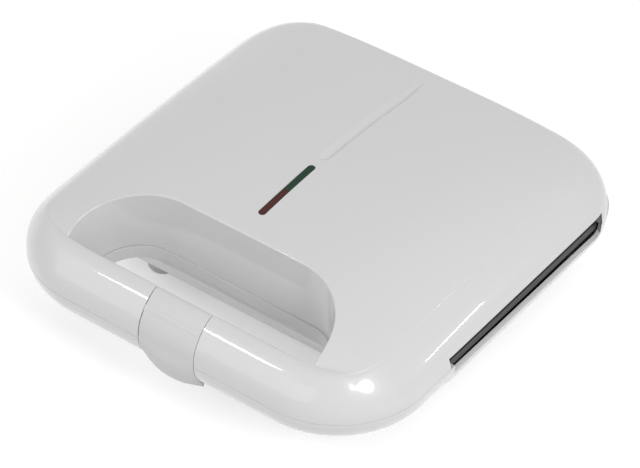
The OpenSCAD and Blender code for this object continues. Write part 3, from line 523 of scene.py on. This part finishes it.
def lamp(name, at, size, power, shape="RECTANGLE"):
    """Soft box at a place in metres, turned to the middle of the object."""
    light = bpy.data.lights.new(name, "AREA")
    light.shape, light.size, light.energy = shape, size[0], power
    if shape == "RECTANGLE":
        light.size_y = size[1]
    ob = bpy.data.objects.new(name, light)
    ob.location = at
    ob.rotation_euler = (Vector((0, 0, 0.04)) - Vector(at)).to_track_quat("-Z", "Y").to_euler()
    bpy.context.scene.collection.objects.link(ob)


studio(0.57)
lamp("key_disk", (0.81, -0.234, 0.55), (0.31,), 2.6, "DISK")
lamp("front_fill", (-0.4, -1.6, 0.6), (1.6, 1.0), 4.0)
lamp("front_left_strip", (-0.69, -0.98, 1.03), (0.2, 0.09), 1.1)
lamp("rear_right_strip", (1.26, 0.85, 0.41), (0.1, 0.04), 0.27)

bpy.context.scene.view_settings.view_transform = "Standard"

# ---- lid ----

# the crest is the line where the lid's top meets its side
CREST_W, CREST_Y0, CREST_Y1, CREST_FRONT_R, CREST_REAR_R = 98.8, -102.0, 102.75, 25, 31
CROWN_Y, CROWN_H, CREST_H = 3.75, 37.995, 24.4
CROWN_BOW, CREST_BOW = 0.0009, 0.00035   # fall to front and rear, times the square of the distance
NOSE_Y, NOSE_FALL, NOSE_RUN = -80, 4.4, 20.75    # extra fall towards the bar
BAR_H, BAR_REAR_H = 21.93, 21.4          # the bar's height at the crest and at the finger recess
CREST_SINK = 0.42                        # fine line along the crest
SIDE_TURN = 1.57                         # angle over which the bar's front turns into the lid's side
RECESS_ROUND, CREST_ROUND, LIP_ROUND, RIM_ROUND = 0.9, 0.55, 0.15, 0.25

# the bar's front from the rim to the crest, as depth behind the front and height over the parting line
BAR_FRONT = ((0, 0), (0.18, 4), (1.0, 8), (2.86, 12), (5.84, 16), (8.3, 18.5), (11, 20.55), (13.3, 21.7),
             (15.25, BAR_H))


def crown(x, y):
    """Height of the lid's top over the parting line."""
    fall = (y - CROWN_Y) ** 2
    middle, crest = CROWN_H - CROWN_BOW * fall, CREST_H - CREST_BOW * fall
    across = np.minimum(1, np.abs(x) / CREST_W) ** 4
    nose = NOSE_FALL * (np.clip(NOSE_Y - y, 0, None) / NOSE_RUN) ** 2
    return crest + (middle - crest) * (1 - across) - nose


def lid_top(plan, u):
    """Height where u runs from the finger recess, 0, to the crest, 1; the bar has its own."""
    bar = BAR_REAR_H + (BAR_H - BAR_REAR_H) * u * (2 - u)
    mix = smooth_step(STATION, 1.0, 2.6)
    return bar * (1 - mix) + crown(plan[:, 0], plan[:, 1]) * mix


def facing(loop):
    """Direction of each point's side of the outline: 1 at the front, 0 at the sides, -1 at the rear."""
    run = np.roll(loop, -1, axis=0) - np.roll(loop, 1, axis=0)
    return np.clip(run[:, 0] / np.hypot(run[:, 0], run[:, 1]), -1, 1)


def side_power(loop):
    """How hard the lid's side bends inward: more at the front and the rear than at the sides."""
    way = facing(loop)
    return 1.8 + 0.7 * np.clip(way, 0, 1) ** 2 + 1.7 * np.clip(-way, 0, 1) ** 2


def lid_solid(w=0.0):
    """The lid round its finger recess; w sinks every face, for the hollow inside."""
    rim = rim_loop(HALF_W - w, FRONT_Y + w, LID_REAR_Y - w, FRONT_R - w, REAR_R - w)
    crest = rim_loop(CREST_W - w, CREST_Y0 + w, CREST_Y1 - w, CREST_FRONT_R, CREST_REAR_R - w)
    recess, lip = hole_loop(*RECESS, w), hole_loop(*HOLE, w)
    power = side_power(rim)
    crest_z = lid_top(crest, 1.0) - w
    to_side = smooth_step(np.arccos(facing(rim)), 0.0, SIDE_TURN)
    bar_q, bar_h = (along(BAR_FRONT, 200) / BAR_FRONT[-1]).T

    def top_row(u):
        """Loop over the top, u of the way from the recess to the crest."""
        plan = recess + (crest - recess) * np.reshape(u, (-1, 1))
        return at_z(plan, lid_top(plan, np.ravel(u)) - w)

    def side_row(t):
        """Loop round the side, t of the way from the rim up to the crest."""
        even = np.interp(t, np.linspace(0, 1, 201), bar_h)
        h = even + (t - even) * to_side
        q = np.interp(h, bar_h, bar_q)
        q = q + (h ** power - q) * to_side
        return at_z(rim + (crest - rim) * q[:, None], crest_z * h)

    recess_row, crest_row = top_row(0.0), top_row(1.0)
    if w:
        lip_row = at_z(lip, w)
        rows = [lip_row + (recess_row - lip_row) * k / 8 for k in range(8)]
        rows += [top_row(u) for u in np.linspace(0, 1, 25)]
        rows += [side_row(t) for t in np.linspace(1, 0.12, 22)[1:]]
        rows += [at_z(side_row(0.1)[:, :2], w)]
    else:
        lip_row, rim_row = at_z(lip, 0), at_z(rim, 0)
        wall = rounded(lip_row, recess_row, top_row(0.04), RECESS_ROUND, 6)
        rows = rounded(rim_row, lip_row, recess_row, LIP_ROUND, 3)
        rows += [rows[-1] + (wall[0] - rows[-1]) * k / 10 for k in range(1, 10)] + wall
        span = np.linalg.norm(crest - recess, axis=1)
        trim = np.minimum(CREST_ROUND, 0.3 * span)
        first, last = np.minimum(RECESS_ROUND / span, 0.4), 1 - trim / span
        rows += [top_row(first + (last - first) * k / 36) for k in range(1, 36)]
        crest_row[:, 2] -= CREST_SINK * smooth_step(STATION, 0.9, 1.5)
        rows += rounded(top_row(last), crest_row, side_row(0.96), trim, 4)
        rows += [side_row(t) for t in np.linspace(0.95, 0.03, 34)]
        rows += rounded(side_row(0.03), rim_row, lip_row, RIM_ROUND, 4)
    return [r + (0, 0, PART_Z) for r in rows]


def hinge_zones(zones, d, gap=0.0, bevel=0.0):
    """Rods on the hinge's axis, right and left, each longer by a gap at both ends."""
    made = []
    for x0, x1 in zones:
        for a, b in ((x0 - gap, x1 + gap), (-x1 - gap, -x0 + gap)):
            made.append(rod(a, b, HINGE_Y, PART_Z, d, bevel))
    return made


def stadium(l, w, n=24):
    """Slot outline about the origin, its length along Y."""
    a = np.linspace(0, math.pi, n + 1)
    end = np.c_[w / 2 * np.cos(a), (l - w) / 2 + w / 2 * np.sin(a)]
    return np.vstack([end, -end])


SLOT_ENDS = [float(crown(0, SLOT_YC + end * SLOT_L / 2)) for end in (-1, 1)]
SLOT_Z = PART_Z + (SLOT_ENDS[0] + SLOT_ENDS[1]) / 2
SLOT_TILT = math.atan2(SLOT_ENDS[1] - SLOT_ENDS[0], SLOT_L)


def on_slot(points):
    """Points over the middle of the lens slot, turned to the fall of the lid's top there."""
    points = np.asarray(points, float)
    c, s = math.cos(SLOT_TILT), math.sin(SLOT_TILT)
    return np.c_[points[:, 0], SLOT_YC + points[:, 1] * c - points[:, 2] * s,
                 SLOT_Z + points[:, 1] * s + points[:, 2] * c]


def slot_cutter(l, w, z0, z1):
    """Cutter of the lens slot between two heights over the lid's top."""
    plan = stadium(l, w)
    return stack_of_rows("slot", [on_slot(at_z(plan, z0)), on_slot(at_z(plan, z1))])


GROOVE_Y0, GROOVE_Y1, GROOVE_H = 4.75, 91.0, 1.15
GROOVE_LEFT, GROOVE_LOW, GROOVE_RIGHT = -3.5, 2.0, 3.5     # across: left edge, lowest line, right edge
GROOVE_FRONT_RUN, GROOVE_REAR_RUN = 3.5, 20


def groove_cutter():
    """Soft trough along the top: a wide left slope, a steep right one, a round front, a slim rear."""
    y = np.r_[np.linspace(GROOVE_Y0 - 0.4, GROOVE_Y0 + 5, 14),
              np.linspace(GROOVE_Y0 + 7, GROOVE_Y1 - 18, 26),
              np.linspace(GROOVE_Y1 - 16, GROOVE_Y1 + 0.4, 18)]
    width = np.sqrt(np.clip((y - GROOVE_Y0) / GROOVE_FRONT_RUN, 0.004, 1)) \
        * np.clip((GROOVE_Y1 - y) / GROOVE_REAR_RUN, 0.004, 1) ** 0.6
    u = np.linspace(-0.12, 1.12, 32)                      # across, from the left edge to the right
    low = (GROOVE_LOW - GROOVE_LEFT) / (GROOVE_RIGHT - GROOVE_LEFT)
    side = np.where(u < low, u / low, (1 - u) / (1 - low))
    deep = np.where(side > 0, np.sin(np.clip(side, 0, 1) * math.pi / 2) ** 1.5, side * 0.9)
    x = (GROOVE_LEFT + (GROOVE_RIGHT - GROOVE_LEFT) * u)[None, :] * np.maximum(width, 0.06)[:, None]
    drop = GROOVE_H * deep[None, :] * np.minimum(1, width * 1.3)[:, None] - 0.012
    yy = np.broadcast_to(y[:, None], x.shape)
    z = PART_Z + crown(x, yy) - drop
    k, n = x.shape
    points = np.vstack([np.dstack([x, yy, z]).reshape(-1, 3), np.dstack([x, yy, z + 3]).reshape(-1, 3)])
    grid = [(i * n + j, i * n + j + 1, (i + 1) * n + j + 1, (i + 1) * n + j)
            for i in range(k - 1) for j in range(n - 1)]
    edge = list(range(n)) + [i * n + n - 1 for i in range(1, k)] \
        + [(k - 1) * n + j for j in range(n - 2, -1, -1)] + [i * n for i in range(k - 2, 0, -1)]
    up = k * n
    faces = grid + [tuple(v + up for v in reversed(f)) for f in grid]
    faces += [(a, b, b + up, a + up) for a, b in zip(edge, edge[1:] + edge[:1])]
    return piece("groove", points, faces)


def plate_opening(z0, z1):
    """Cutter of the opening that a plate lies in."""
    return block(-PLATE_HW - 0.6, PLATE_HW + 0.6, STEP_Y, WINDOW_REAR_Y, z0, z1)


def side_windows(y0, z0, z1, fall=0.0):
    """Cutters for the two side windows: the rear end flares inward, the sill falls outward."""
    x1, flare_x = HALF_W + 5, PLATE_HW + 0.6
    made = []
    for side in (-1, 1):
        corners = [(WINDOW_X, y0), (flare_x, y0), (x1, y0),
                   (x1, WINDOW_REAR_Y - WINDOW_FLARE * (x1 - flare_x)),
                   (flare_x, WINDOW_REAR_Y), (WINDOW_X, WINDOW_REAR_Y)]
        plan = np.array(corners) * (side, 1)
        low = at_z(plan, z0)
        low[2:4, 2] -= fall * (x1 - flare_x) / (HALF_W - flare_x)
        made.append(stack_of_rows("side_window", [low, at_z(plan, z1)]))
    return made


def make_lid():
    lid = tube_of_rows("lid", lid_solid())
    hollow = tube_of_rows("hollow", lid_solid(WALL))
    cut(hollow, block(-CLIP_SLOT_HW - WALL, CLIP_SLOT_HW + WALL, FRONT_Y - 2, BAR_Y + 1, PART_Z - 5, 90))
    cut(lid, hollow)
    cut(lid, plate_opening(PART_Z - 1, PART_Z + 3))
    cut(lid, *side_windows(LID_WINDOW_Y, PART_Z - 1, PART_Z + WINDOW_H))
    for x, y in SCREWS:
        join(lid, post(x, y, PART_Z + 5, PART_Z + float(crown(x, y)) - WALL / 2, BOSS_D))
        cut(lid, post(x, y, PART_Z + 4, PART_Z + 16, 4))
    join(lid, *hinge_zones(LUGS, KNUCKLE_D, 0, 0.5))
    cut(lid, *hinge_zones(EARS, KNUCKLE_D + 0.8, 0.4), *hinge_zones(PINS, HINGE_PIN_D + 0.1, 0.5))
    cut(lid, block(-CLIP_SLOT_HW, CLIP_SLOT_HW, FRONT_Y - 2, BAR_Y - WALL, PART_Z - 1, 90),
        block(-CLIP_SLOT_HW, CLIP_SLOT_HW, BAR_Y - WALL - 1, BAR_Y + 1, PART_Z + 11.5, 90),
        rod(-CLIP_SLOT_HW - WALL - 1, CLIP_SLOT_HW + WALL + 1, CLIP_Y, CLIP_Z, 3.04))
    cut(lid, slot_cutter(SLOT_L, SLOT_W, -6, 6), slot_cutter(SLOT_L + 3.2, SLOT_W + 3.2, -9, -WALL))
    cut(lid, groove_cutter())
    return finished(smoothed(lid), "lid_shell", "lid", "housing_white", "lid_housing")


# ---- base ----

RING_H, RING_IN = 18.0, 16.5    # depth of the ring and how far its side comes in
HOLE_WALL_H = 7.0               # its depth round the finger hole


def ring_solid(w=0.0):
    """Ring under the handle and the lid's front: its side a quarter oval, shallow round the hole."""
    hole, hole_foot = hole_loop(*BASE_HOLE, w), hole_loop(*BASE_HOLE_LOW, w)
    top = -RIM_GAP - w
    low = w - RING_H + (RING_H - HOLE_WALL_H) * smooth_step(hole[:, 1], -99, -84)

    def side(a):
        inset = RING_IN * (1 - math.cos(a)) + w
        plan = rim_loop(HALF_W - inset, FRONT_Y + inset, REAR_Y - inset, FRONT_R - inset / 3, REAR_R - w)
        return at_z(plan, (w - RING_H) * math.sin(a))

    outer = [side(a) for a in np.radians(np.linspace(84, 4, 18))]
    rim = at_z(rim_loop(HALF_W - w, FRONT_Y + w, REAR_Y - w, FRONT_R - w, REAR_R - w), top)
    hole_top, hole_low = at_z(hole, top), at_z(hole_foot, low)
    if w:
        rows = [hole_top + (hole_low - hole_top) * t for t in (0, 0.25, 0.5, 0.75, 1)] + outer + [rim]
    else:
        rows = rounded(rim, hole_top, hole_low, LIP_ROUND, 3)
        rows += [hole_top + (hole_low - hole_top) * t for t in (0.25, 0.5, 0.75)]
        rows += rounded(hole_top, hole_low, outer[0], 0.8, 4) + outer
        rows += rounded(outer[-1], rim, hole_top, RIM_ROUND, 3)
    return [r + (0, 0, PART_Z) for r in rows]


TUB_Y0, TUB_R, TUB_H = -58.75, 18, 31.5
# how far the tub's side comes in, at depths under the parting line
TUB_LEVELS = ((0, 0.4), (0.3, 4), (0.9, 8), (2, 12), (5, 16), (11, 22), (20, 31.5))


def tub_solid(w=0.0):
    """The tub behind the finger hole, an upright skirt over a bowl with steep ends."""
    level = along(TUB_LEVELS, 29)
    rows = []
    for i, z in level:
        z = RIM_GAP + w if (w and z < RIM_GAP + w) else min(z, TUB_H - w)
        rows.append(at_z(rim_loop(HALF_W - 1 - i - w, TUB_Y0 + 0.6 * i + w, REAR_Y - 0.6 * i - w,
                                  TUB_R - w, REAR_R - w - i / 4), -z))
    if w == 0:
        floor_row = rows[-1] * (0.97, 0.97, 1)
        rows = rows[:-1] + rounded(rows[-2], rows[-1], floor_row, 1.5, 4)
    return [r + (0, 0, PART_Z) for r in rows]


FLOOR_Z, RIM_LOW, GLAND_Z = 8.5, 35.0, 27.0
FOOT_BOSS_D, GLAND_BOSS_D, GLAND_D = 16, 17, 10.9
SCREW_D, HEAD_D = 4.2, 7.6
VENT_PITCH, VENT_HW, VENT_HL, VENT_ROW = 12, 2, 12, 22   # slots through the floor in two rows


def rod_y(x, z, y0, y1, d, n=48):
    """Round bar along Y."""
    a = np.linspace(0, 2 * math.pi, n, endpoint=False)
    return stack_of_rows("rod", [np.c_[x + d / 2 * np.cos(a), np.full(n, y), z + d / 2 * np.sin(a)]
                                 for y in (y0, y1)])


def base_form(w):
    """Tub and ring as one solid, every face sunk by w."""
    ring = cut(tube_of_rows("ring", ring_solid(w)), block(-140, 140, STEP_Y, 140, 0, 60))
    return join(stack_of_rows("tub", tub_solid(w)), ring)


def make_base():
    base = base_form(0.0)
    hollow = cut(base_form(WALL),
                 block(-CLIP_SLOT_HW - WALL, CLIP_SLOT_HW + WALL, FRONT_Y - 2, KEEPER_Y + WALL, 0, 50))
    cut(base, hollow)
    cut(base, plate_opening(PART_Z - 4, PART_Z + 2))
    cut(base, *side_windows(STEP_Y, PART_Z - WINDOW_H, PART_Z + 2, SILL_FALL))
    join(base, *[post(x, y, FLOOR_Z + 1, RIM_LOW, BOSS_D) for x, y in BASE_SCREWS])
    join(base, *[post(x, y, FLOOR_Z, FLOOR_Z + WALL + 3, FOOT_BOSS_D) for x, y in FEET])
    join(base, rod_y(0, GLAND_Z, REAR_Y - 9, REAR_Y, GLAND_BOSS_D))
    join(base, *hinge_zones(EARS, KNUCKLE_D, 0, 0.5))
    cut(base, *hinge_zones(LUGS, KNUCKLE_D + 0.8, 0.4), *hinge_zones(PINS, HINGE_PIN_D + 0.04, 0.5))
    cut(base, *[post(x, y, FLOOR_Z - 1, RIM_LOW + 1, SCREW_D) for x, y in BASE_SCREWS])
    cut(base, *[post(x, y, FLOOR_Z - 1, FLOOR_Z + 4, HEAD_D) for x, y in BASE_SCREWS])
    cut(base, rod_y(0, GLAND_Z, REAR_Y - 20, REAR_Y + 10, GLAND_D))
    vents = [(k * VENT_PITCH, PLATE_YC + s * VENT_ROW) for k in range(-3, 4) for s in (-1, 1)]
    cut(base, *[block(x - VENT_HW, x + VENT_HW, y - VENT_HL, y + VENT_HL,
                      FLOOR_Z - 1, FLOOR_Z + WALL + 1) for x, y in vents])
    cut(base, block(-CLIP_SLOT_HW, CLIP_SLOT_HW, FRONT_Y - 2, KEEPER_Y, 0, PART_Z + 1),
        block(-CLIP_SLOT_HW, CLIP_SLOT_HW, KEEPER_Y - 1, KEEPER_Y + 1.6, 0, PART_Z - 14.2))
    return finished(smoothed(base), "base_shell", "base", "housing_white", "base_housing")


# ---- clip ----

CLIP_SKIN, HOOK = 2.6, 7.8      # wall, and depth of the hook behind the front
LEAN_D, LEAN_H = 11.0, 20.75    # how far the clip's front leans back, at what height
# the lip's outer line at the clip's ends, where it lies on the shells
LIP_END = ((-0.25, 0.5), (0.1, -4), (1.45, -7.9), (3.85, -12.6), (6.1, -16.4), (7.3, -18.6))


def clip_front(z):
    """Depth of the clip's front behind the shells' front, at a height over the parting line."""
    return LEAN_D * (z / LEAN_H) ** 2.5


def clip_section(end):
    """Section of the clip as depth and height; end is 0 in its middle and 1 at its ends."""
    top = along([(16.1, 21.75), (15.0, 22.15), (13.5, 22.1), (LEAN_D, LEAN_H)]
                + [(clip_front(z), z) for z in np.linspace(20.0, 4.0, 14)], 44)
    middle = along([(0.05, 2.0)] + [(HOOK - (HOOK + 1) * math.cos(a), -4 - 17.5 * math.sin(a))
                                    for a in np.radians(np.linspace(0, 84, 18))], 40)
    lip = middle + (along(((0.05, 2.0),) + LIP_END, 40) - middle) * end
    inner = [(HOOK, -20.9 + 2.6 * end), (HOOK, -2.0)]
    inner += [(clip_front(z) + CLIP_SKIN, z - CLIP_SKIN * z / LEAN_H) for z in np.linspace(2.0, 19.0, 8)]
    return np.vstack([top, lip, inner, [(16.1, 18.9)]])


def make_clip():
    rows = []
    edge = [(CLIP_HW, 0.45), (CLIP_HW - 0.14, 0.14), (CLIP_HW - 0.45, 0)]      # place and inset
    middle = [(x, 0) for x in np.linspace(-CLIP_HW + 1, CLIP_HW - 1, 23)]
    for x, inset in [(-x, i) for x, i in edge] + middle + edge[::-1]:
        section = clip_section(min(1, abs(x) / 16.4) ** 2.2)
        run = np.roll(section, -1, axis=0) - np.roll(section, 1, axis=0)
        at = section + np.c_[-run[:, 1], run[:, 0]] / np.linalg.norm(run, axis=1)[:, None] * inset
        rows.append(np.c_[np.full(len(at), x), FRONT_Y + at[:, 0], PART_Z + at[:, 1]])
    clip = stack_of_rows("clip", rows)
    join(clip, rod(-CLIP_HW, CLIP_HW, CLIP_Y, CLIP_Z, 6.6))
    cut(clip, rod(-CLIP_HW - 1, CLIP_HW + 1, CLIP_Y, CLIP_Z, 3.1))
    return finished(smoothed(clip), "clip", "latch", "clip_white", "latch")


# ---- plates ----

RIM_T, PAN_H, POCKET_H, PLATE_GAP = 4.6, 16.0, 12.5, 0.8
PLATE_R, PAN_R, POCKET_R, PLATE_BORE = 2.2, 6.0, 4.0, 4.1
POCKET, RIDGE = 104.0, 7.0      # side of a pair of pockets and width of the ridge round them


def round_corners(points, r, n=8):
    """Outline through corner points, each corner an arc of radius r."""
    points, made = np.asarray(points, float), []
    for a, b, c in zip(np.roll(points, 1, axis=0), points, np.roll(points, -1, axis=0)):
        u, v = (a - b) / np.linalg.norm(a - b), (c - b) / np.linalg.norm(c - b)
        half = math.acos(np.clip(u @ v, -1, 1)) / 2
        middle = b + (u + v) / np.linalg.norm(u + v) * r / math.sin(half)
        p, q = b + u * r / math.tan(half) - middle, b + v * r / math.tan(half) - middle
        a0, a1 = math.atan2(p[1], p[0]), math.atan2(q[1], q[0])
        turn = (a1 - a0 + math.pi) % (2 * math.pi) - math.pi
        made += [middle + r * np.array((math.cos(a0 + turn * t), math.sin(a0 + turn * t)))
                 for t in np.linspace(0, 1, n + 1)]
    return np.array(made)


def plate_outline(hw, y0, y1, inset, r):
    """Rectangle with round corners, every side moved in by an inset."""
    return round_corners([(-hw + inset, y0 + inset), (hw - inset, y0 + inset),
                          (hw - inset, y1 - inset), (-hw + inset, y1 - inset)], r)


def pocket_row(inset, z, side, turn):
    """A pocket's triangle at one height; turn 1 is the front one, -1 the rear one."""
    reach = inset + POCKET - 0.7 * RIDGE - 2.4 * inset
    plan = round_corners([(inset, inset), (reach, inset), (inset, reach)], POCKET_R)
    plan = (plan - POCKET / 2) * turn
    return at_z(plan * (side, 1) + (side * (POCKET + RIDGE) / 2, PLATE_YC), z)


def make_plate(name, body, node, up):
    """A cast plate face down or face up: rim, pans behind it and four triangular pockets."""
    def z(depth):
        return PART_Z + up * (PLATE_GAP / 2 + depth)

    def stack(part, outline, steps):
        return stack_of_rows(part, [at_z(outline(inset), z(depth)) for inset, depth in steps])

    rim = [(0.5, 0.0), (0.15, 0.12), (0, 0.5), (0, RIM_T - 0.7), (0.2, RIM_T - 0.2), (0.7, RIM_T)]
    pan = [(-1.0, RIM_T - 1), (-1.0, RIM_T), (2.0, PAN_H - 1.2), (3.2, PAN_H)]
    mouth = [(-1.3, -1), (-1.3, 0), (-0.6, 0.12), (0.15, 0.6), (0.8, 1.4)]
    wall = [(0.8 + 5.4 * t, 1.4 + (POCKET_H - 3.4) * t) for t in (0.33, 0.67, 1)]
    floor_edge = [(6.6, POCKET_H - 1.0), (7.4, POCKET_H - 0.3), (8.6, POCKET_H)]
    def pan_outline(inset):
        half = POCKET / 2
        return plate_outline(half, PLATE_YC - half, PLATE_YC + half, inset, PAN_R)

    plate = stack(name, lambda inset: plate_outline(PLATE_HW, PLATE_Y0, PLATE_Y1, inset, PLATE_R), rim)
    for side in (-1, 1):
        middle = (side * (POCKET + RIDGE) / 2, 0)
        join(plate, stack("pan", lambda inset: pan_outline(inset) + middle, pan))
    for side in (-1, 1):
        for turn in (-1, 1):
            cut(plate, stack_of_rows("pocket", [pocket_row(inset, z(depth), side, turn)
                                                for inset, depth in mouth + wall + floor_edge]))
    low, high = sorted((z(-1), z(RIM_T + 1)))
    cut(plate, *[post(x, y, low, high, PLATE_BORE) for x, y in (SCREWS if up > 0 else BASE_SCREWS)])
    return finished(smoothed(plate), name, body, "plate_grey", node)


make_lid()
make_base()
make_clip()
make_plate("lower_cooking_plate", "base", "lower_plate", -1)
make_plate("upper_cooking_plate", "lid", "upper_plate", 1)

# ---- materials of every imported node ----

for row in frame["record"]["subparts"]:
    node = NODES[row["node"]]
    node.data.materials.clear()
    node.data.materials.append(finishes[row["material_slot"]])
